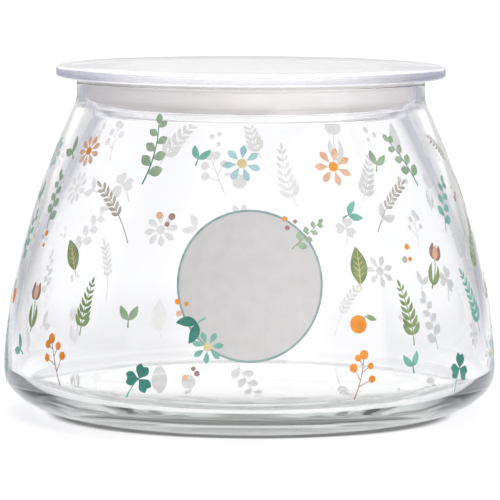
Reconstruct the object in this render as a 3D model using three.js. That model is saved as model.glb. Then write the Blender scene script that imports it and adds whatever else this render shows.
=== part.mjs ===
// Squat glass storage jar, closed by a clear disc lid whose plug sits in the mouth with a soft gasket.
// Millimetres, +Z up. The origin is the centre of the foot, on the surface that the jar stands on.
// Every piece is turned about the Z axis, so an outline is a list of points (radius, height).
import * as THREE from 'three';

// Driving dimensions
const AROUND = 64; // facets round each turned piece
const CLEARANCE = 0.3; // gap left between pieces that touch

// Jar body
const BODY_R = 75; // widest radius, just above the heel
const HEEL_H = 12.4; // height of the rounded heel
const FOOT_R = 54; // outer radius of the flat ring that the jar stands on
const FOOT_W = 7; // width of that ring
const PUSH_UP = 1.6; // rise of the underside at its centre
const BODY_SWELL = 19.8; // how far the side stays close to upright above the heel
const WALL = 3; // thickness of the side
const FLOOR_Z = 8.2; // level of the flat inside floor
const INNER_HEEL = 6; // radius of the rounding between floor and side

// Shoulder, where the straight upper side turns into the neck
const SHOULDER_R = 54.7;
const SHOULDER_Z = 90.4;
const SHOULDER_SLOPE = 0.45; // radius lost for each millimetre of height
const SHOULDER_RUN = 29; // how far the upper side stays close to straight below the shoulder
const SHOULDER_BEND = 2; // softness of the hollow bend into the neck

// Neck and rim
const NECK_R = 52.9;
const NECK_WALL = 2.7;
const NECK_Z = 96; // where the upright neck begins
const RIM_Z = 100.4; // top of the glass
const RIM_EDGE = 0.7; // rounding of the rim, outside and inside

// Lid
const LID_GAP = 1.2; // clear height between the rim and the disc, which the gasket bridges
const DISC_R = 59.1;
const DISC_T = 3.1;
const DISC_EDGE = 0.8; // rounding of the disc's edge, above and below
const PLUG_R = 45; // outside of the plug's wall
const PLUG_WALL = 2.4;
const PLUG_DEPTH = 12; // reach of the plug below the disc
const LIP_R = 47.6; // ledge at the plug's lower end, which holds the gasket up
const LIP_T = 2.5;
const LIP_EDGE = 0.6; // rounding of that ledge

// Gasket
const GASKET_NOSE = 4.2; // rounding of the gasket's lower outer edge, across
const GASKET_NOSE_H = 5; // and up its side
const GASKET_TOP = 0.9; // rounding of its upper outer edge

// Levels and radii that follow from the sizes above
const MOUTH_R = NECK_R - NECK_WALL;
const DISC_Z = RIM_Z + LID_GAP;
const LIP_Z = DISC_Z - PLUG_DEPTH;
const RIGHT_ANGLE = Math.PI / 2;

const at = (radius, height) => new THREE.Vector2(radius, height);
const line = (from, to) => new THREE.LineCurve(from, to);
const bend = (from, control, to) => new THREE.QuadraticBezierCurve(from, control, to);
const sweep = (from, leave, arrive, to) => new THREE.CubicBezierCurve(from, leave, arrive, to);

/** Arc about a centre, from one angle to another, clockwise where the end angle is the smaller one. */
function arc(centre, radiusX, radiusZ, start, end) {
  return new THREE.EllipseCurve(centre.x, centre.y, radiusX, radiusZ, start, end, end < start);
}

/** Points along a chain of [curve, steps] stretches, without the doubled point where two of them meet. */
function outline(stretches) {
  const points = [];
  for (const [curve, steps] of stretches) {
    for (const point of curve.getPoints(steps)) {
      const isNew = points.length === 0 || points.at(-1).distanceTo(point) > 1e-6;
      if (isNew) points.push(point);
    }
  }
  return points;
}

/** A named mesh turned about +Z from an outline that runs round the section anticlockwise. */
function turned(name, points, material) {
  const geometry = new THREE.LatheGeometry(points, AROUND);
  geometry.rotateX(RIGHT_ANGLE);
  const mesh = new THREE.Mesh(geometry, material);
  mesh.name = name;
  return mesh;
}

/** Side of the jar from the top of its heel to the shoulder, moved inwards by the given thickness. */
function sideCurve(thickness, heelTop) {
  const tilt = Math.hypot(1, SHOULDER_SLOPE);
  const shoulder = at(
    SHOULDER_R - thickness / tilt,
    SHOULDER_Z - (thickness * SHOULDER_SLOPE) / tilt,
  );
  const heel = at(BODY_R - thickness, heelTop);
  const upright = at(heel.x, heelTop + BODY_SWELL);
  const straight = at(shoulder.x + SHOULDER_SLOPE * SHOULDER_RUN, shoulder.y - SHOULDER_RUN);
  return sweep(heel, upright, straight, shoulder);
}

/** Hollow bend from the shoulder up into the upright neck. */
function neckCurve(shoulder, neck) {
  const leave = at(shoulder.x - SHOULDER_SLOPE * SHOULDER_BEND, shoulder.y + SHOULDER_BEND);
  const arrive = at(neck.x, neck.y - SHOULDER_BEND);
  return sweep(shoulder, leave, arrive, neck);
}

const reversed = (curve) => sweep(curve.v3, curve.v2, curve.v1, curve.v0);

function makeJar() {
  const footInner = at(FOOT_R - FOOT_W, 0);
  const footOuter = at(FOOT_R, 0);
  const rimOut = at(NECK_R - RIM_EDGE, RIM_Z - RIM_EDGE);
  const rimIn = at(MOUTH_R + RIM_EDGE, RIM_Z - RIM_EDGE);
  const neckOut = at(NECK_R, NECK_Z);
  const neckIn = at(MOUTH_R, NECK_Z - WALL * SHOULDER_SLOPE);

  const outside = sideCurve(0, HEEL_H);
  const inside = sideCurve(WALL, FLOOR_Z + INNER_HEEL);
  const outerBend = neckCurve(outside.v3, neckOut);
  const innerBend = neckCurve(inside.v3, neckIn);
  const heel = arc(at(FOOT_R, HEEL_H), BODY_R - FOOT_R, HEEL_H, -RIGHT_ANGLE, 0);
  const innerCorner = at(BODY_R - WALL - INNER_HEEL, FLOOR_Z + INNER_HEEL);
  const innerHeel = arc(innerCorner, INNER_HEEL, INNER_HEEL, 0, -RIGHT_ANGLE);
  const floorEdge = at(innerCorner.x, FLOOR_Z);

  const points = outline([
    [bend(at(0, PUSH_UP), at(footInner.x / 2, PUSH_UP), footInner), 3],
    [line(footInner, footOuter), 1],
    [heel, 6],
    [outside, 10],
    [outerBend, 4],
    [line(neckOut, at(NECK_R, rimOut.y)), 1],
    [arc(rimOut, RIM_EDGE, RIM_EDGE, 0, RIGHT_ANGLE), 3],
    [arc(rimIn, RIM_EDGE, RIM_EDGE, RIGHT_ANGLE, 2 * RIGHT_ANGLE), 3],
    [line(at(MOUTH_R, rimIn.y), neckIn), 1],
    [reversed(innerBend), 4],
    [reversed(inside), 8],
    [innerHeel, 5],
    [line(floorEdge, at(0, FLOOR_Z)), 1],
  ]);
  const glass = new THREE.MeshStandardMaterial({
    color: 0xeef1f2, roughness: 0.03, metalness: 0, transparent: true, opacity: 0.3,
  });
  return turned('jar', points, glass);
}

function makeLid() {
  const discTop = DISC_Z + DISC_T;
  const discFlat = DISC_R - DISC_EDGE;
  const plugInner = PLUG_R - PLUG_WALL;
  const lipTop = LIP_Z + LIP_T;
  const lipFlat = LIP_R - LIP_EDGE;

  const points = outline([
    [line(at(0, DISC_Z), at(plugInner, DISC_Z)), 1],
    [line(at(plugInner, DISC_Z), at(plugInner, LIP_Z)), 1],
    [line(at(plugInner, LIP_Z), at(lipFlat, LIP_Z)), 1],
    [arc(at(lipFlat, LIP_Z + LIP_EDGE), LIP_EDGE, LIP_EDGE, -RIGHT_ANGLE, 0), 2],
    [arc(at(lipFlat, lipTop - LIP_EDGE), LIP_EDGE, LIP_EDGE, 0, RIGHT_ANGLE), 2],
    [line(at(lipFlat, lipTop), at(PLUG_R, lipTop)), 1],
    [line(at(PLUG_R, lipTop), at(PLUG_R, DISC_Z)), 1],
    [line(at(PLUG_R, DISC_Z), at(discFlat, DISC_Z)), 1],
    [arc(at(discFlat, DISC_Z + DISC_EDGE), DISC_EDGE, DISC_EDGE, -RIGHT_ANGLE, 0), 3],
    [arc(at(discFlat, discTop - DISC_EDGE), DISC_EDGE, DISC_EDGE, 0, RIGHT_ANGLE), 3],
    [line(at(discFlat, discTop), at(0, discTop)), 1],
  ]);
  const clearPlastic = new THREE.MeshStandardMaterial({
    color: 0xe9e9f6, roughness: 0.08, metalness: 0, transparent: true, opacity: 0.35,
  });
  return turned('lid', points, clearPlastic);
}

function makeGasket() {
  const innerR = PLUG_R + CLEARANCE;
  const outerR = MOUTH_R - CLEARANCE;
  const bottom = LIP_Z + LIP_T + CLEARANCE;
  const top = DISC_Z - CLEARANCE;
  const noseCentre = at(outerR - GASKET_NOSE, bottom + GASKET_NOSE_H);
  const topCentre = at(outerR - GASKET_TOP, top - GASKET_TOP);

  const points = outline([
    [line(at(innerR, bottom), at(noseCentre.x, bottom)), 1],
    [arc(noseCentre, GASKET_NOSE, GASKET_NOSE_H, -RIGHT_ANGLE, 0), 6],
    [arc(topCentre, GASKET_TOP, GASKET_TOP, 0, RIGHT_ANGLE), 3],
    [line(at(topCentre.x, top), at(innerR, top)), 1],
    [line(at(innerR, top), at(innerR, bottom)), 1],
  ]);
  const silicone = new THREE.MeshStandardMaterial({ color: 0xe4ddd3, roughness: 0.55, metalness: 0 });
  return turned('gasket', points, silicone);
}

const storageJar = new THREE.Group();
storageJar.add(makeJar(), makeLid(), makeGasket());

export default storageJar;
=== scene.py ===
import bisect
import math
import random

import bmesh
import bpy
from mathutils import Matrix, Vector


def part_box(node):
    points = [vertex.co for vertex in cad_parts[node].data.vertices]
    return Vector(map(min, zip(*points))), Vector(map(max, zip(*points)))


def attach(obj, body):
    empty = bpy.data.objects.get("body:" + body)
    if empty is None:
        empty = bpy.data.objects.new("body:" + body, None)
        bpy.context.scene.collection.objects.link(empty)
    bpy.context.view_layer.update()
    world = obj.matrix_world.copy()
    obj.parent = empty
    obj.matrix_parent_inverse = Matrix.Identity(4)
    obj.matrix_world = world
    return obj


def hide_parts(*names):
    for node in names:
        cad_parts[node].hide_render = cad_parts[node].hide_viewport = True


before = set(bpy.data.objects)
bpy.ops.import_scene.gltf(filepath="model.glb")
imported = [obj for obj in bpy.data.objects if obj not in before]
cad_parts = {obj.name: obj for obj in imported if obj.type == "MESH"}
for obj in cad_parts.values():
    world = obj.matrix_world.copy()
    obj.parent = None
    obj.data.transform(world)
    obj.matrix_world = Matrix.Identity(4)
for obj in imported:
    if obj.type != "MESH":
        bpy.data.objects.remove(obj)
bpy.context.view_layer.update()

MM = 0.001
FULL_TURN = 2 * math.pi
RIGHT_ANGLE = math.pi / 2
SAME = 1e-7              # points closer than this are one point

# Sizes read from the frame
jar_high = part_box("jar")[1]
lid_low, lid_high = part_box("lid")
gasket_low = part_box("gasket")[0]
BODY_R = jar_high[0]
RIM_Z = jar_high[2]
DISC_R = lid_high[0]
LID_TOP = lid_high[2]
LIP_Z = lid_low[2]
GASKET_BOTTOM = gasket_low[2]

# Jar, in the same named sizes as its solid
HEEL_H = 12.4 * MM
FOOT_R = 54 * MM
FOOT_W = 7 * MM
PUSH_UP = 1.6 * MM
BODY_SWELL = 19.8 * MM
WALL = 3 * MM
FLOOR_Z = 8.2 * MM
INNER_HEEL = 6 * MM
SHOULDER_R = 54.7 * MM
SHOULDER_Z = 90.4 * MM
SHOULDER_SLOPE = 0.45
SHOULDER_RUN = 29 * MM
SHOULDER_BEND = 2 * MM
NECK_R = 52.9 * MM
NECK_WALL = 2.7 * MM
NECK_Z = 96 * MM
RIM_EDGE = 0.7 * MM
MOUTH_R = NECK_R - NECK_WALL

# Lid and gasket
DISC_T = 3.1 * MM
DISC_Z = LID_TOP - DISC_T
DISC_EDGE = 0.8 * MM
PLUG_R = 45 * MM
PLUG_WALL = 2.4 * MM
LIP_R = 47.6 * MM
LIP_T = 2.5 * MM
LIP_EDGE = 0.6 * MM
CORNER = 0.25 * MM       # small rounding on the lid's other corners
GASKET_NOSE = 4.2 * MM
GASKET_NOSE_H = 5 * MM
GASKET_TOP = 0.9 * MM
GASKET_GAP = 0.1 * MM    # the soft gasket stops just short of the mouth
NOSE_SHADE_STOPS = ((0.16, 0.74), (0.34, 1.0))    # painted shade on the gasket's downward-facing nose, from its foot up

AROUND = 256             # facets round the turned meshes

# Camera, from the photograph's viewing angle
CAMERA_BACK = 1.1
CAMERA_HEIGHT = 0.164
AIM_HEIGHT = 0.0485
SENSOR = 36.0
FRAME_PX = 500
FOCAL_PX = 3626
ROLL = math.radians(0.3)


def srgb(text):
    """Linear colour from a six-digit hex string."""
    values = [int(text[k:k + 2], 16) / 255 for k in (0, 2, 4)]
    return tuple(v / 12.92 if v <= 0.04045 else ((v + 0.055) / 1.055) ** 2.4 for v in values) + (1.0,)


# Outlines: lists of (radius, height) points that run anticlockwise round a section

def arc(centre, radius_x, radius_z, start, end, steps):
    angles = [start + (end - start) * k / steps for k in range(steps + 1)]
    return [(centre[0] + radius_x * math.cos(a), centre[1] + radius_z * math.sin(a)) for a in angles]


def sweep(p0, p1, p2, p3, steps):
    """Cubic curve from p0 to p3, leaving towards p1 and arriving from p2."""
    points = []
    for k in range(steps + 1):
        t = k / steps
        weights = ((1 - t) ** 3, 3 * t * (1 - t) ** 2, 3 * t * t * (1 - t), t ** 3)
        points.append(tuple(sum(w * p[i] for w, p in zip(weights, (p0, p1, p2, p3))) for i in (0, 1)))
    return points


def straight(start, end, steps=1):
    return [tuple(a + (b - a) * k / steps for a, b in zip(start, end)) for k in range(steps + 1)]


def chain(*stretches):
    """Joins stretches of outline, without the doubled point where two of them meet."""
    points = []
    for point in (p for stretch in stretches for p in stretch):
        if not points or math.dist(points[-1], point) > SAME:
            points.append(point)
    return points


def side_ends(thickness, heel_top):
    """The four points of the curve up the side of the jar, moved inwards by the thickness."""
    tilt = math.hypot(1, SHOULDER_SLOPE)
    shoulder = (SHOULDER_R - thickness / tilt, SHOULDER_Z - thickness * SHOULDER_SLOPE / tilt)
    heel = (BODY_R - thickness, heel_top)
    upright = (heel[0], heel_top + BODY_SWELL)
    leaning = (shoulder[0] + SHOULDER_SLOPE * SHOULDER_RUN, shoulder[1] - SHOULDER_RUN)
    return heel, upright, leaning, shoulder


def neck_ends(shoulder, neck):
    leave = (shoulder[0] - SHOULDER_SLOPE * SHOULDER_BEND, shoulder[1] + SHOULDER_BEND)
    arrive = (neck[0], neck[1] - SHOULDER_BEND)
    return shoulder, leave, arrive, neck


def outer_side(steps):
    """Outside of the jar from the top of the heel to the start of the upright neck."""
    side = side_ends(0, HEEL_H)
    neck = neck_ends(side[3], (NECK_R, NECK_Z))
    return chain(sweep(*side, steps), sweep(*neck, steps // 3))


def jar_outline():
    foot_in = (FOOT_R - FOOT_W, 0.0)
    foot_out = (FOOT_R, 0.0)
    rim_out = (NECK_R - RIM_EDGE, RIM_Z - RIM_EDGE)
    rim_in = (MOUTH_R + RIM_EDGE, RIM_Z - RIM_EDGE)
    inside = side_ends(WALL, FLOOR_Z + INNER_HEEL)
    neck_in = (MOUTH_R, NECK_Z - WALL * SHOULDER_SLOPE)
    corner = (BODY_R - WALL - INNER_HEEL, FLOOR_Z + INNER_HEEL)
    floor_edge = (corner[0], FLOOR_Z)
    return chain(
        sweep((0.0, PUSH_UP), (foot_in[0] / 3, PUSH_UP), (2 * foot_in[0] / 3, PUSH_UP / 2), foot_in, 14),
        straight(foot_in, foot_out, 4),
        arc((FOOT_R, HEEL_H), BODY_R - FOOT_R, HEEL_H, -RIGHT_ANGLE, 0, 24),
        outer_side(36),
        straight((NECK_R, NECK_Z), (NECK_R, rim_out[1]), 4),
        arc(rim_out, RIM_EDGE, RIM_EDGE, 0, RIGHT_ANGLE, 10),
        arc(rim_in, RIM_EDGE, RIM_EDGE, RIGHT_ANGLE, math.pi, 10),
        straight((MOUTH_R, rim_in[1]), neck_in, 4),
        sweep(*reversed(neck_ends(inside[3], neck_in)), 12),
        sweep(*reversed(inside), 32),
        arc(corner, INNER_HEEL, INNER_HEEL, 0, -RIGHT_ANGLE, 20),
        straight(floor_edge, (0.0, FLOOR_Z), 8),
    )


def lid_outline():
    disc_flat = DISC_R - DISC_EDGE
    plug_in = PLUG_R - PLUG_WALL
    lip_top = LIP_Z + LIP_T
    lip_flat = LIP_R - LIP_EDGE
    return chain(
        straight((0.0, DISC_Z), (plug_in - CORNER, DISC_Z), 3),
        arc((plug_in - CORNER, DISC_Z - CORNER), CORNER, CORNER, RIGHT_ANGLE, 0, 4),
        arc((plug_in + CORNER, LIP_Z + CORNER), CORNER, CORNER, math.pi, 1.5 * math.pi, 4),
        arc((lip_flat, LIP_Z + LIP_EDGE), LIP_EDGE, LIP_EDGE, -RIGHT_ANGLE, 0, 6),
        arc((lip_flat, lip_top - LIP_EDGE), LIP_EDGE, LIP_EDGE, 0, RIGHT_ANGLE, 6),
        arc((PLUG_R + CORNER, lip_top + CORNER), CORNER, CORNER, 1.5 * math.pi, math.pi, 4),
        arc((PLUG_R + CORNER, DISC_Z - CORNER), CORNER, CORNER, math.pi, RIGHT_ANGLE, 4),
        arc((disc_flat, DISC_Z + DISC_EDGE), DISC_EDGE, DISC_EDGE, -RIGHT_ANGLE, 0, 8),
        arc((disc_flat, LID_TOP - DISC_EDGE), DISC_EDGE, DISC_EDGE, 0, RIGHT_ANGLE, 8),
        straight((disc_flat, LID_TOP), (0.0, LID_TOP), 4),
    )


def gasket_outline():
    inner_r = PLUG_R + CORNER
    outer_r = MOUTH_R - GASKET_GAP
    top = DISC_Z - CORNER
    nose = (outer_r - GASKET_NOSE, GASKET_BOTTOM + GASKET_NOSE_H)
    crown = (outer_r - GASKET_TOP, top - GASKET_TOP)
    return chain(
        straight((inner_r, GASKET_BOTTOM), (nose[0], GASKET_BOTTOM)),
        arc(nose, GASKET_NOSE, GASKET_NOSE_H, -RIGHT_ANGLE, 0, 14),
        arc(crown, GASKET_TOP, GASKET_TOP, 0, RIGHT_ANGLE, 6),
        straight((crown[0], top), (inner_r, top)),
        straight((inner_r, top), (inner_r, GASKET_BOTTOM), 4),
    )


# Meshes

SHARP = math.radians(40)    # edges that bend more than this stay sharp


def finish_mesh(name, mesh, materials):
    """Shades a mesh smooth, keeps its real corners sharp, and makes it a piece that rides with the jar."""
    mesh.shade_smooth()
    mesh.set_sharp_from_angle(angle=SHARP)
    for material in materials:
        mesh.materials.append(material)
    piece = bpy.data.objects.new(name, mesh)
    bpy.context.scene.collection.objects.link(piece)
    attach(piece, "root")
    return piece


def turned(name, outline, material):
    """A mesh turned about +Z; a point on the axis closes into a pole."""
    form = bmesh.new()
    rings = []
    for radius, height in outline:
        spokes = [0.0] if radius < SAME else [FULL_TURN * k / AROUND for k in range(AROUND)]
        spots = [(radius * math.sin(a), -radius * math.cos(a), height) for a in spokes]
        rings.append([form.verts.new(spot) for spot in spots])
    if math.dist(outline[0], outline[-1]) < SAME:
        for vert in rings[-1]:
            form.verts.remove(vert)
        rings[-1] = rings[0]
    for low, high in zip(rings, rings[1:]):
        for k in range(AROUND):
            n = (k + 1) % AROUND
            corners = [low[k % len(low)], low[n % len(low)], high[n % len(high)], high[k % len(high)]]
            form.faces.new(list(dict.fromkeys(corners)))
    mesh = bpy.data.meshes.new(name)
    form.to_mesh(mesh)
    form.free()
    return finish_mesh(name, mesh, [material])


# Materials

def new_material(name):
    material = bpy.data.materials.new(name)
    material.use_nodes = True
    nodes = material.node_tree.nodes
    return material, nodes, material.node_tree.links, nodes["Principled BSDF"]


def add_bump(nodes, links, shader, scale, strength, distance):
    """Fine unevenness of the surface from object-space noise."""
    place = nodes.new("ShaderNodeTexCoord")
    noise = nodes.new("ShaderNodeTexNoise")
    noise.inputs["Scale"].default_value = scale
    bump = nodes.new("ShaderNodeBump")
    bump.inputs["Strength"].default_value = strength
    bump.inputs["Distance"].default_value = distance
    links.new(place.outputs["Object"], noise.inputs["Vector"])
    links.new(noise.outputs["Fac"], bump.inputs["Height"])
    links.new(bump.outputs["Normal"], shader.inputs["Normal"])


def clear_material(name, tint, density, ior, roughness, wave_scale, wave_depth):
    """A clear body: a slightly uneven refracting surface, and a colour that deepens with thickness."""
    material, nodes, links, shader = new_material(name)
    shader.inputs["Base Color"].default_value = (1.0, 1.0, 1.0, 1.0)
    shader.inputs["Transmission Weight"].default_value = 1.0
    shader.inputs["Roughness"].default_value = roughness
    shader.inputs["IOR"].default_value = ior
    absorb = nodes.new("ShaderNodeVolumeAbsorption")
    absorb.inputs["Color"].default_value = tint
    absorb.inputs["Density"].default_value = density
    links.new(absorb.outputs["Volume"], nodes["Material Output"].inputs["Volume"])
    add_bump(nodes, links, shader, wave_scale, 0.15, wave_depth)
    return material


def shade_of(nodes, links, value, stops, blue=1.0):
    """A grey by a smooth ramp of (position, grey) stops; with blue below 1, what is dark is bluish."""
    ramp = nodes.new("ShaderNodeValToRGB")
    ramp.color_ramp.interpolation = "EASE"
    while len(ramp.color_ramp.elements) < len(stops):
        ramp.color_ramp.elements.new(0.5)
    for element, (position, grey) in zip(ramp.color_ramp.elements, stops):
        element.position = position
        element.color = (grey, grey, grey ** blue, 1.0)
    links.new(value, ramp.inputs["Fac"])
    return ramp.outputs["Color"]


def product(nodes, links, first, second):
    """Two colours multiplied."""
    both = nodes.new("ShaderNodeMix")
    both.data_type = "RGBA"
    both.blend_type = "MULTIPLY"
    both.inputs["Factor"].default_value = 1.0
    links.new(first, both.inputs["A"])
    links.new(second, both.inputs["B"])
    return both.outputs["Result"]


def mottle(nodes, links, light, dark, scale):
    """Colour that drifts between two tones, as hand-mixed ink or milky silicone does."""
    place = nodes.new("ShaderNodeTexCoord")
    noise = nodes.new("ShaderNodeTexNoise")
    noise.inputs["Scale"].default_value = scale
    noise.inputs["Detail"].default_value = 4.0
    ramp = nodes.new("ShaderNodeValToRGB")
    ramp.color_ramp.elements[0].position = 0.35
    ramp.color_ramp.elements[0].color = dark
    ramp.color_ramp.elements[1].position = 0.65
    ramp.color_ramp.elements[1].color = light
    links.new(place.outputs["Object"], noise.inputs["Vector"])
    links.new(noise.outputs["Fac"], ramp.inputs["Fac"])
    return ramp.outputs["Color"]


def silicone_material():
    """Milky silicone, with shade painted along its lower edge, where the nose faces down and gets less
    light.
    """
    material, nodes, links, shader = new_material("gasket_silicone")
    place = nodes.new("ShaderNodeTexCoord")
    split = nodes.new("ShaderNodeSeparateXYZ")
    links.new(place.outputs["Generated"], split.inputs["Vector"])
    # painted shade: the silicone is darker towards its lower edge
    painted_nose_shade = shade_of(nodes, links, split.outputs["Z"], NOSE_SHADE_STOPS)
    milky = mottle(nodes, links, srgb("faf5f3"), srgb("f4eeeb"), 60.0)
    links.new(product(nodes, links, milky, painted_nose_shade), shader.inputs["Base Color"])
    shader.inputs["Roughness"].default_value = 0.42
    shader.inputs["Subsurface Weight"].default_value = 0.1
    shader.inputs["Subsurface Radius"].default_value = (1.0, 0.9, 0.8)
    shader.inputs["Subsurface Scale"].default_value = 2 * MM
    add_bump(nodes, links, shader, 900.0, 0.12, 0.05 * MM)
    return material


def ink_material(name, light, dark):
    """Satin ink with a fine grain."""
    material, nodes, links, shader = new_material(name)
    links.new(mottle(nodes, links, srgb(light), srgb(dark), 260.0), shader.inputs["Base Color"])
    shader.inputs["Roughness"].default_value = 0.38
    add_bump(nodes, links, shader, 2500.0, 0.1, 0.02 * MM)
    return material


def backing_material():
    """Pale back of the ink, with a painted glow that stands in for the little light shining through it."""
    material, nodes, links, shader = new_material("print_backing")
    links.new(mottle(nodes, links, srgb("fbfaf8"), srgb("f6f5f2"), 200.0), shader.inputs["Base Color"])
    shader.inputs["Roughness"].default_value = 0.5
    # painted glow: a faint emission stands in for light through the thin ink
    shader.inputs["Emission Color"].default_value = srgb("fbfaf8")
    shader.inputs["Emission Strength"].default_value = 0.1
    return material


# Surface of the jar as something to print on: "along" is the distance up the side from the heel

def measure_side():
    """Points up the outside of the glass, and the distance from the heel to each of them."""
    points = outer_side(240)
    lengths = [0.0]
    for a, b in zip(points, points[1:]):
        lengths.append(lengths[-1] + math.dist(a, b))
    return points, lengths


SIDE_POINTS, SIDE_LENGTHS = measure_side()


def side_at(along):
    """Radius, height and outward direction of the glass at a distance up its side."""
    last = len(SIDE_POINTS) - 2
    low = min(max(bisect.bisect_right(SIDE_LENGTHS, along) - 1, 0), last)
    a = SIDE_POINTS[low]
    b = SIDE_POINTS[low + 1]
    span = SIDE_LENGTHS[low + 1] - SIDE_LENGTHS[low]
    t = (along - SIDE_LENGTHS[low]) / span
    radius, height = (a[i] + (b[i] - a[i]) * t for i in (0, 1))
    return radius, height, (b[1] - a[1]) / span, (a[0] - b[0]) / span


def along_at(height):
    """Distance up the side at which the glass has this height."""
    for index, point in enumerate(SIDE_POINTS):
        if point[1] >= height:
            return SIDE_LENGTHS[index]
    return SIDE_LENGTHS[-1]


INK_TOP = 0.07 * MM      # how far ink stands proud of the glass
INK_GAP = 0.025 * MM     # air under it, so that its pale back shows through the glass
OVERPRINT = 0.03 * MM    # extra height of ink printed over ink


class Place:
    """A spot on the glass with its own small drawing plane: x to the right, y up, turned and scaled.

    Its level counts the layers of ink that are already there.
    """

    def __init__(self, angle, along, turn=0.0, size=1.0, level=0):
        self.angle = angle
        self.along = along
        self.level = level
        self.cos = math.cos(turn) * size
        self.sin = math.sin(turn) * size

    def on_glass(self, x, y, lift):
        """The point in space of a point of the drawing plane, lifted off the glass."""
        across = x * self.cos - y * self.sin
        along = self.along + x * self.sin + y * self.cos
        radius, height, out, up = side_at(along)
        angle = self.angle + across / radius
        reach = radius + out * lift
        return (reach * math.sin(angle), -reach * math.cos(angle), height + up * lift)


class Ink:
    """All the strokes printed in one colour, gathered into one mesh."""

    def __init__(self, name, light, dark):
        self.name = name
        self.tones = (light, dark)
        self.verts = []
        self.faces = []
        self.backs = []

    def stroke(self, place, spine, halves, level=0):
        """A thin inked strip along a spine of (x, y) points, with its own half width at each of them."""
        sides = (1, 0, -1)
        columns = len(sides)
        edge = columns - 1
        last = len(spine) - 1
        start = len(self.verts)
        over = (place.level + level) * OVERPRINT
        for lift in (INK_TOP + over, INK_GAP + over):
            for index, (x, y) in enumerate(spine):
                ahead = spine[min(index + 1, last)]
                behind = spine[max(index - 1, 0)]
                side = Vector((behind[1] - ahead[1], ahead[0] - behind[0])).normalized()
                half = halves[index]
                for k in sides:
                    self.verts.append(place.on_glass(x + side.x * half * k, y + side.y * half * k, lift))

        def top(i, k):
            return start + i * columns + k

        def under(i, k):
            return top(i, k) + (last + 1) * columns

        for i in range(last):
            for k in range(edge):
                self.add((top(i, k), top(i, k + 1), top(i + 1, k + 1), top(i + 1, k)))
                self.add((under(i, k), under(i + 1, k), under(i + 1, k + 1), under(i, k + 1)), back=True)
            self.add((top(i, 0), top(i + 1, 0), under(i + 1, 0), under(i, 0)))
            self.add((top(i + 1, edge), top(i, edge), under(i, edge), under(i + 1, edge)))
        for k in range(edge):
            self.add((top(0, k + 1), top(0, k), under(0, k), under(0, k + 1)))
            self.add((top(last, k), top(last, k + 1), under(last, k + 1), under(last, k)))

    def add(self, corners, back=False):
        """One face; a back is the pale side of the ink, which faces the glass."""
        self.faces.append(corners)
        self.backs.append(int(back))

    def make(self, backing):
        """The mesh of all the strokes, with its pale backing."""
        mesh = bpy.data.meshes.new(self.name)
        mesh.from_pydata(self.verts, [], self.faces)
        mesh.polygons.foreach_set("material_index", self.backs)
        return finish_mesh(self.name, mesh, [ink_material(self.name, *self.tones), backing])


# Simple printed forms, in metres on a drawing plane

TIP = 0.04 * MM          # half width at a pointed end
FINE = 0.22 * MM         # half width of a stem
BLADE_STEPS = 9
DOT_STEPS = 10


def eased(steps):
    """Steps from 0 to 1 that crowd towards both ends, where leaves and dots curve most."""
    return [(1 - math.cos(math.pi * k / steps)) / 2 for k in range(steps + 1)]


def blade(ink, place, base, heading, length, width, bend=0.0, belly=0.45, level=0):
    """A leaf or petal from its base point along a heading, widest at the belly, with a sideways bend."""
    power = math.log(0.5) / math.log(belly)
    spine = []
    halves = []
    for t in eased(BLADE_STEPS):
        turn = heading + bend * (t - 0.5)
        spine.append((base[0] + math.cos(turn) * length * t, base[1] + math.sin(turn) * length * t))
        halves.append(TIP + width / 2 * math.sin(math.pi * t ** power) ** 0.9)
    ink.stroke(place, spine, halves, level)


def dot(ink, place, centre, radius):
    """A round spot, drawn from its left to its right end."""
    shares = [2 * t - 1 for t in eased(DOT_STEPS)]
    spine = [(centre[0] + radius * share, centre[1]) for share in shares]
    ink.stroke(place, spine, [max(TIP, radius * math.sqrt(1 - share * share)) for share in shares])


def rising(foot, rise, lean=0.0):
    """A function from 0..1 to the point on a stem that rises from the level of its foot and leans aside."""
    def point(t):
        return (lean * t * t, foot + rise * t)
    return point


def reaching(start, heading, reach):
    """A function from 0..1 to the point on a straight twig that leaves its start along a heading."""
    def point(t):
        return (start[0] + reach * t * math.cos(heading), start[1] + reach * t * math.sin(heading))
    return point


def stem(ink, place, point, thick=FINE, steps=12, level=0):
    """A fine strip along a stem, thinner towards its tip."""
    shares = [k / steps for k in range(steps + 1)]
    ink.stroke(place, [point(t) for t in shares], [thick * (1.15 - 0.5 * t) for t in shares], level)


def stem_heading(point, t):
    """Direction in which a stem grows at a share of its length."""
    near = 0.02
    behind = point(max(0.0, t - near))
    ahead = point(min(1.0, t + near))
    return math.atan2(ahead[1] - behind[1], ahead[0] - behind[0])


# Motifs, each drawn upwards from its foot and centred on its place, with chance taken from draw

def fern(draw, place, inks):
    """A leaning stem with pairs of narrow leaflets that shorten towards the tip."""
    length = 21 * MM
    point = rising(-length / 2, length, draw.uniform(-0.25, 0.25) * length)
    stem(inks[0], place, point)
    pairs = 7
    for k in range(pairs):
        t = 0.18 + 0.74 * k / (pairs - 1)
        leaf = (5.6 - 3.2 * k / (pairs - 1)) * MM
        for side in (1, -1):
            heading = stem_heading(point, t) + side * math.radians(52)
            blade(inks[0], place, point(t), heading, leaf, leaf * 0.36, bend=-side * 0.35)
    blade(inks[0], place, point(0.97), stem_heading(point, 1.0), 3 * MM, 1.1 * MM)


def round_sprig(draw, place, inks):
    """A stem with single roundish leaves that alternate from side to side."""
    length = 18 * MM
    point = rising(-length / 2, length, draw.uniform(-0.35, 0.35) * length)
    stem(inks[1], place, point)
    leaves = 7
    for k in range(leaves):
        t = 0.2 + 0.75 * k / (leaves - 1)
        side = 1 if k % 2 else -1
        leaf = (5.0 - 1.8 * k / (leaves - 1)) * MM
        heading = stem_heading(point, t) + side * math.radians(58)
        blade(inks[0], place, point(t), heading, leaf, leaf * 0.66, belly=0.55)
    blade(inks[0], place, point(1.0), stem_heading(point, 1.0), 3.4 * MM, 2.2 * MM, belly=0.5)


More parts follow.
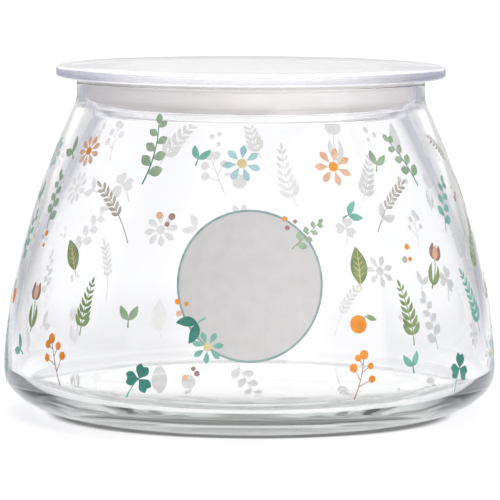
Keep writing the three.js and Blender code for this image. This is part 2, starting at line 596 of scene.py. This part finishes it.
def daisy(draw, place, inks):
    """A ring of petals round an open middle with a spot in it."""
    middle = 1.5 * MM
    petals = draw.choice((7, 8, 9))
    spin = draw.uniform(0, FULL_TURN)
    for k in range(petals):
        heading = spin + FULL_TURN * k / petals
        base = (middle * math.cos(heading), middle * math.sin(heading))
        blade(inks[0], place, base, heading, 4.4 * MM, 2.1 * MM, belly=0.62)
    dot(inks[1], place, (0.0, 0.0), middle)


def berry_twig(draw, place, inks):
    """A forked twig with a berry at the end of each branch."""
    length = 14 * MM
    point = rising(-length / 2, length, draw.uniform(-0.2, 0.2) * length)
    stem(inks[1], place, point, thick=0.18 * MM)
    for k, t in enumerate((0.3, 0.45, 0.62, 0.78)):
        side = 1 if k % 2 else -1
        heading = stem_heading(point, t) + side * math.radians(46)
        branch = reaching(point(t), heading, (5.2 - 0.8 * k) * MM)
        stem(inks[1], place, branch, thick=0.15 * MM, steps=5)
        dot(inks[0], place, branch(1.0), draw.uniform(1.0, 1.45) * MM)
    dot(inks[0], place, point(1.0), 1.5 * MM)


def veined_leaf(draw, place, inks):
    """One broad leaf with its midrib and side veins drawn over it."""
    length = 13 * MM
    width = 6.4 * MM
    foot = -length / 2
    blade(inks[0], place, (0.0, foot), RIGHT_ANGLE, length, width, bend=0.12)
    rib = rising(foot - 2.2 * MM, length + 0.6 * MM)
    stem(inks[1], place, rib, thick=0.2 * MM, level=1)
    for k in range(4):
        start = (0.0, foot + length * (0.2 + 0.15 * k))
        reach = width * (0.40 - 0.05 * abs(k - 1))
        for side in (1, -1):
            vein = reaching(start, RIGHT_ANGLE - side * math.radians(48), reach)
            stem(inks[1], place, vein, thick=0.12 * MM, steps=4, level=1)


def clover(draw, place, inks):
    """Three leaves of two lobes each, on a leaning stem."""
    point = rising(-7 * MM, 7 * MM, 1.5 * MM)
    stem(inks[1], place, point)
    for k in range(3):
        heading = RIGHT_ANGLE + FULL_TURN * (k - 1) / 3.2
        for side in (1, -1):
            blade(inks[0], place, point(1.0), heading + side * 0.3, 4.6 * MM, 2.7 * MM, belly=0.64)


def tulip(draw, place, inks):
    """A cup of three petals on a stem with two long leaves."""
    def point(t):
        return (0.8 * MM * math.sin(math.pi * t), -9 * MM + 11 * MM * t)

    stem(inks[1], place, point, thick=0.28 * MM)
    for side in (1, -1):
        blade(inks[1], place, point(0.12), RIGHT_ANGLE - side * 0.5, 8 * MM, 2.0 * MM, bend=side * 0.6)
    x, y = point(1.0)
    for side in (1, -1):
        base = (x + side * 0.5 * MM, y - 0.4 * MM)
        blade(inks[0], place, base, RIGHT_ANGLE - side * 0.42, 6 * MM, 3.0 * MM, bend=side * 0.5, belly=0.4)
    blade(inks[2], place, (x, y - 0.3 * MM), RIGHT_ANGLE, 5.2 * MM, 3.0 * MM, belly=0.4, level=1)


def grass_ear(draw, place, inks):
    """A bending stalk whose upper half carries two rows of grains."""
    length = 20 * MM
    point = rising(-length / 2, length, draw.choice((-0.3, 0.3)) * length)
    stem(inks[0], place, point, thick=0.17 * MM)
    for k in range(6):
        t = 0.45 + 0.09 * k
        for side in (1, -1):
            heading = stem_heading(point, t) + side * math.radians(40)
            blade(inks[0], place, point(t), heading, 2.9 * MM, 1.05 * MM, belly=0.55)
    blade(inks[0], place, point(0.98), stem_heading(point, 1.0), 3 * MM, 1.1 * MM)


def seeds(draw, place, inks):
    """Three loose seeds in a triangle that is a little uneven."""
    reach = 1.9 * MM
    for k in range(3):
        spin = FULL_TURN * k / 3 + 0.2 * draw.uniform(0, FULL_TURN)
        centre = (reach * math.cos(spin), reach * math.sin(spin))
        dot(inks[k % 2], place, centre, draw.uniform(0.6, 1.05) * MM)


def leaf_pair(draw, place, inks):
    """Two leaves that spread from a short stem."""
    base = (0.0, -2 * MM)
    for side in (1, -1):
        blade(inks[0], place, base, RIGHT_ANGLE - side * 0.75, 5.2 * MM, 2.4 * MM, bend=side * 0.3)
    stem(inks[1], place, rising(-4.4 * MM, 2.6 * MM), steps=4)


def fruit(draw, place, inks):
    """One round fruit with a short stalk and a leaf."""
    dot(inks[0], place, (0.0, 0.0), 2.6 * MM)
    stem(inks[1], place, rising(2.3 * MM, 2.2 * MM, 0.6 * MM), thick=0.2 * MM, steps=5)
    blade(inks[1], place, (0.2 * MM, 3.4 * MM), 0.5, 3.4 * MM, 1.5 * MM)


# The print: its inks, the round label field and the scattered motifs

LABEL_W = 20.9 * MM      # half width of the label, measured round the glass
LABEL_H = 21.8 * MM      # half its height, measured up the glass
LABEL_HEIGHT = 45.6 * MM
LABEL_CLEAR = 5 * MM     # bare glass kept round the label
MOTIF_REACH = 6 * MM     # about how far a motif spreads from its middle
RING_W = 0.33 * MM       # half width of the ring round the label
COLUMNS = 14             # motifs in a row
ROWS = 5
PRINT_LOW = 20 * MM      # height of the lowest row of motifs
PRINT_HIGH = 80 * MM     # and of the highest

# Two tones for each ink
INKS = {
    "teal": ("86bfae", "6aa897"),
    "deep_teal": ("3f8f7d", "2f7565"),
    "sage": ("a9bda2", "8fa588"),
    "leaf_green": ("93a874", "758c58"),
    "stone": ("c3bfb2", "aaa596"),
    "orange": ("f09a2c", "df8412"),
    "peach": ("ecc3a6", "dfab8a"),
    "mauve": ("b08e84", "96746b"),
    "powder_blue": ("b5d3d6", "98bcc2"),
    "straw": ("e6d7a4", "d4c186"),
    "slate": ("98b0ac", "829b97"),
}

# Motifs with their inks and sizes, in the order in which the rows take them
MOTIFS = (
    (fern, ("teal", "deep_teal"), 1.0),
    (daisy, ("peach", "orange"), 1.0),
    (veined_leaf, ("leaf_green", "straw"), 0.9),
    (berry_twig, ("orange", "mauve"), 1.0),
    (round_sprig, ("sage", "deep_teal"), 1.0),
    (tulip, ("mauve", "leaf_green", "peach"), 0.95),
    (clover, ("deep_teal", "teal"), 1.0),
    (grass_ear, ("stone", "stone"), 1.0),
    (fern, ("leaf_green", "leaf_green"), 0.85),
    (daisy, ("powder_blue", "straw"), 1.05),
    (round_sprig, ("teal", "stone"), 0.9),
)

# Small motifs between them
FILLERS = (
    (seeds, ("orange", "stone")),
    (leaf_pair, ("teal", "deep_teal")),
    (fruit, ("orange", "leaf_green")),
    (seeds, ("mauve", "peach")),
    (leaf_pair, ("sage", "leaf_green")),
)

# Motifs over the label's ring, each with its angle on the ring, its inks and its size
LABEL_MOTIFS = (
    (3.75, leaf_pair, ("deep_teal", "teal"), 1.2),
    (3.45, seeds, ("orange", "peach"), 1.0),
    (4.1, daisy, ("teal", "straw"), 0.8),
    (0.7, round_sprig, ("sage", "leaf_green"), 0.62),
    (1.0, seeds, ("mauve", "orange"), 0.9),
)


def near_label(angle, along, reach):
    """Whether a motif of this reach would touch the label field."""
    from_front = (angle + math.pi) % FULL_TURN - math.pi
    across = from_front * side_at(along)[0]
    return math.hypot(across, along - along_at(LABEL_HEIGHT)) < LABEL_H + reach


def scatter(inks):
    """Motifs in staggered rows, each a little off its place, with fillers between some of them."""
    draw = random.Random(7)
    low = along_at(PRINT_LOW)
    step = (along_at(PRINT_HIGH) - low) / (ROWS - 1)
    turn = FULL_TURN / COLUMNS
    for row in range(ROWS):
        for column in range(COLUMNS):
            angle = turn * (column + 0.5 * (row % 2) + draw.uniform(-0.13, 0.13))
            along = low + step * (row + draw.uniform(-0.12, 0.12))
            motif, names, size = MOTIFS[(row * 5 + column * 3) % len(MOTIFS)]
            size *= draw.uniform(0.85, 1.05)
            lean = draw.uniform(-0.5, 0.5)
            if not near_label(angle, along, LABEL_CLEAR + MOTIF_REACH):
                motif(draw, Place(angle, along, lean, size), [inks[name] for name in names])
            filler, names = FILLERS[(row * 2 + column) % len(FILLERS)]
            angle += turn * draw.uniform(0.42, 0.58)
            along += step * draw.uniform(-0.15, 0.3)
            lean = draw.uniform(-1.2, 1.2)
            if (row + column) % 2 and not near_label(angle, along, LABEL_CLEAR):
                place = Place(angle, along, lean, draw.uniform(0.8, 1.1))
                filler(draw, place, [inks[name] for name in names])


def oval_point(share, angle):
    """Point of the label's drawing plane at an angle, on an oval that is this share of its outline."""
    return (share * LABEL_W * math.cos(angle), share * LABEL_H * math.sin(angle))


def oval_spine(share, steps):
    """Points all round such an oval, the first one again at the end."""
    return [oval_point(share, FULL_TURN * k / steps) for k in range(steps + 1)]


def label_disc(place, backing):
    """The plain round field: rings of faces wrapped on the glass, closed all round."""
    field = Ink("label_field", "cfcdcb", "cac8c6")
    rings = 14
    spokes = 96
    for lift in (INK_TOP, INK_GAP):
        field.verts.append(place.on_glass(0.0, 0.0, lift))
        for ring in range(1, rings + 1):
            for x, y in oval_spine(ring / rings, spokes)[:-1]:
                field.verts.append(place.on_glass(x, y, lift))
    layer = 1 + rings * spokes

    def vert(level, ring, spoke):
        return level * layer + (0 if ring == 0 else 1 + (ring - 1) * spokes + spoke % spokes)

    for k in range(spokes):
        for ring in range(rings):
            corners = [(ring, k), (ring + 1, k), (ring + 1, k + 1), (ring, k + 1)]
            upper = list(dict.fromkeys(vert(0, r, s) for r, s in corners))
            lower = list(dict.fromkeys(vert(1, r, s) for r, s in reversed(corners)))
            field.add(upper)
            field.add(lower, back=True)
        field.add((vert(1, rings, k), vert(1, rings, k + 1), vert(0, rings, k + 1), vert(0, rings, k)))
    return field.make(backing)


def label(inks, backing):
    """The plain field, the ring on its edge, and a few motifs over the ring."""
    place = Place(0.0, along_at(LABEL_HEIGHT))
    label_disc(place, backing)
    ring = oval_spine(1.0, 120)
    inks["slate"].stroke(place, ring, [RING_W] * len(ring), level=1)
    draw = random.Random(3)
    for angle, motif, names, size in LABEL_MOTIFS:
        x, y = oval_point(1.0, angle)
        along = place.along + y
        there = Place(x / side_at(along)[0], along, angle - RIGHT_ANGLE, size, level=2)
        motif(draw, there, [inks[name] for name in names])


def printed():
    """All the print, one piece for each ink."""
    backing = backing_material()
    inks = {name: Ink("print_" + name, light, dark) for name, (light, dark) in INKS.items()}
    scatter(inks)
    label(inks, backing)
    for ink in inks.values():
        ink.make(backing)


# Stage, light and camera

# Sky: stops of (position, grey)
SKY_STOPS = ((0.06, 0.64), (0.14, 1.6), (0.4, 1.5), (0.6, 0.95), (0.9, 1.1))    # from level to overhead
DEPTH_STOPS = ((0.35, 1.0), (0.65, 0.75))        # from behind the jar to before it
FLANK_STOPS = ((0.34, 1.0), (0.74, 0.26))        # from the middle to the sides
SKY_STRENGTH = 1.17
BLUE = 0.88                                      # below 1, what is dark is bluish

# Paper that the jar stands on: painted shadows by distance from a point, as a share of a reach across and
# along
UNDER_AT = -8.5 * MM
UNDER_REACH = (0.1, 0.085)
UNDER_SHADOW_STOPS = ((0.57, 0.15), (0.63, 0.95))       # painted contact shadow where the jar stands
BEHIND_AT = 170 * MM
BEHIND_REACH = (0.12, 0.22)
BEHIND_SHADOW_STOPS = ((0.2, 0.86), (1.0, 1.0))         # painted shadow where the jar dims the light from before it
PAPER_SPREAD = 0.085                             # how fast the white strip widens away from the jar
PAPER_STOPS = ((0.1, 1.0), (0.3, 0.4))           # from its middle to the sides
PAPER_GLOW = 0.24
PAPER_R = 12.0
PAPER_DROP = 0.3 * MM                            # the paper lies just clear of the foot

# One broad lamp at the front right
LAMP_AT = (0.98, -1.13, 0.6)
LAMP_AIM = (0.0, 0.0, 0.05)
LAMP_SIZE = (1.5, 1.2)
LAMP_WATTS = 7.0


def distance_shade(nodes, links, place, centre_y, reach, stops):
    """Shade by distance from a point of the paper, measured in shares of the reach across and along it."""
    shares = nodes.new("ShaderNodeVectorMath")
    shares.operation = "MULTIPLY_ADD"
    shares.inputs[1].default_value = (1 / reach[0], 1 / reach[1], 0.0)
    shares.inputs[2].default_value = (0.0, -centre_y / reach[1], 0.0)
    links.new(place, shares.inputs[0])
    distance = nodes.new("ShaderNodeVectorMath")
    distance.operation = "LENGTH"
    links.new(shares.outputs["Vector"], distance.inputs[0])
    return shade_of(nodes, links, distance.outputs["Value"], stops)


def wedge_shade(nodes, links, place):
    """Shade that leaves a strip of paper white, wider the further it is from the jar."""
    sizes = nodes.new("ShaderNodeVectorMath")
    sizes.operation = "ABSOLUTE"
    links.new(place, sizes.inputs[0])
    aside = nodes.new("ShaderNodeVectorMath")
    aside.operation = "DOT_PRODUCT"
    aside.inputs[1].default_value = (1.0, -PAPER_SPREAD, 0.0)
    links.new(sizes.outputs["Vector"], aside.inputs[0])
    return shade_of(nodes, links, aside.outputs["Value"], PAPER_STOPS, BLUE)


def paper_material():
    """Paper, white along the middle and greyer to the sides, with painted shadow behind the jar and a
    darker painted shadow under it.
    """
    material, nodes, links, shader = new_material("floor_paper")
    place = nodes.new("ShaderNodeTexCoord").outputs["Object"]
    # painted shadows: darkest under the jar, lighter behind it
    under = distance_shade(nodes, links, place, UNDER_AT, UNDER_REACH, UNDER_SHADOW_STOPS)
    behind = distance_shade(nodes, links, place, BEHIND_AT, BEHIND_REACH, BEHIND_SHADOW_STOPS)
    beside = wedge_shade(nodes, links, place)
    shade = product(nodes, links, product(nodes, links, under, behind), beside)
    links.new(shade, shader.inputs["Base Color"])
    # the paper's glow carries the painted shadows too
    links.new(shade, shader.inputs["Emission Color"])
    shader.inputs["Emission Strength"].default_value = PAPER_GLOW
    shader.inputs["Roughness"].default_value = 0.7
    return material


def make_floor():
    mesh = bpy.data.meshes.new("floor")
    form = bmesh.new()
    bmesh.ops.create_circle(form, cap_ends=True, radius=PAPER_R, segments=96)
    form.to_mesh(mesh)
    form.free()
    mesh.materials.append(paper_material())
    floor = bpy.data.objects.new("floor", mesh)
    floor.location.z = -PAPER_DROP
    bpy.context.scene.collection.objects.link(floor)


def make_world():
    """A white light tent: bright before, behind and overhead, dimmer and bluish to both sides."""
    world = bpy.data.worlds.new("surround")
    world.use_nodes = True
    bpy.context.scene.world = world
    nodes = world.node_tree.nodes
    links = world.node_tree.links
    place = nodes.new("ShaderNodeTexCoord")
    split = nodes.new("ShaderNodeSeparateXYZ")
    links.new(place.outputs["Generated"], split.inputs["Vector"])
    rise = shade_of(nodes, links, split.outputs["Z"], SKY_STOPS)
    forward = nodes.new("ShaderNodeMapRange")
    forward.inputs["From Min"].default_value = 1.0
    forward.inputs["From Max"].default_value = -1.0
    links.new(split.outputs["Y"], forward.inputs["Value"])
    depth = shade_of(nodes, links, forward.outputs["Result"], DEPTH_STOPS)
    sideways = nodes.new("ShaderNodeMath")
    sideways.operation = "ABSOLUTE"
    links.new(split.outputs["X"], sideways.inputs[0])
    flank = shade_of(nodes, links, sideways.outputs["Value"], FLANK_STOPS, BLUE)
    shade = product(nodes, links, product(nodes, links, rise, depth), flank)
    background = nodes["Background"]
    background.inputs["Strength"].default_value = SKY_STRENGTH
    links.new(shade, background.inputs["Color"])


def make_lamp():
    data = bpy.data.lights.new("soft_right", "AREA")
    data.shape = "RECTANGLE"
    data.size, data.size_y = LAMP_SIZE
    data.energy = LAMP_WATTS
    lamp = bpy.data.objects.new("soft_right", data)
    lamp.location = LAMP_AT
    lamp.rotation_euler = (Vector(LAMP_AIM) - Vector(LAMP_AT)).to_track_quat("-Z", "Y").to_euler()
    bpy.context.scene.collection.objects.link(lamp)


def make_camera():
    data = bpy.data.cameras.new("camera")
    data.sensor_width = SENSOR
    data.lens = FOCAL_PX * SENSOR / FRAME_PX
    data.clip_end = 50.0
    camera = bpy.data.objects.new("camera", data)
    spot = Vector((0.0, -CAMERA_BACK, CAMERA_HEIGHT))
    aim = Vector((0.0, 0.0, AIM_HEIGHT)) - spot
    facing = aim.to_track_quat("-Z", "Y").to_matrix().to_4x4()
    camera.matrix_world = Matrix.Translation(spot) @ facing @ Matrix.Rotation(ROLL, 4, "Z")
    bpy.context.scene.collection.objects.link(camera)
    bpy.context.scene.camera = camera


def make_pieces():
    """The finer jar, lid and gasket in place of their solids, and the print."""
    glass = clear_material("jar_glass", tint=(0.82, 0.828, 0.822, 1.0), density=36.0, ior=1.51,
                           roughness=0.0, wave_scale=45.0, wave_depth=0.12 * MM)
    plastic = clear_material("lid_plastic", tint=(0.86, 0.86, 0.93, 1.0), density=5.0, ior=1.49,
                             roughness=0.1, wave_scale=90.0, wave_depth=0.05 * MM)
    for name, outline, material, slot in (
        ("jar", jar_outline(), glass, "jar_glass"),
        ("lid", lid_outline(), plastic, "lid_plastic"),
        ("gasket", gasket_outline(), silicone_material(), "gasket_silicone"),
    ):
        piece = turned(name + "_smooth", outline, material)
        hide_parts(name)
    printed()


def set_light_paths():
    """Lets light cross the glass as often as walls, base and lid need."""
    cycles = bpy.context.scene.cycles
    cycles.max_bounces = 160
    cycles.transmission_bounces = 150
    cycles.glossy_bounces = 150
    cycles.diffuse_bounces = 6
    cycles.volume_bounces = 0
    cycles.blur_glossy = 0.0


bpy.context.scene.view_settings.view_transform = "Standard"
set_light_paths()
make_camera()
make_floor()
make_world()
make_lamp()
make_pieces()
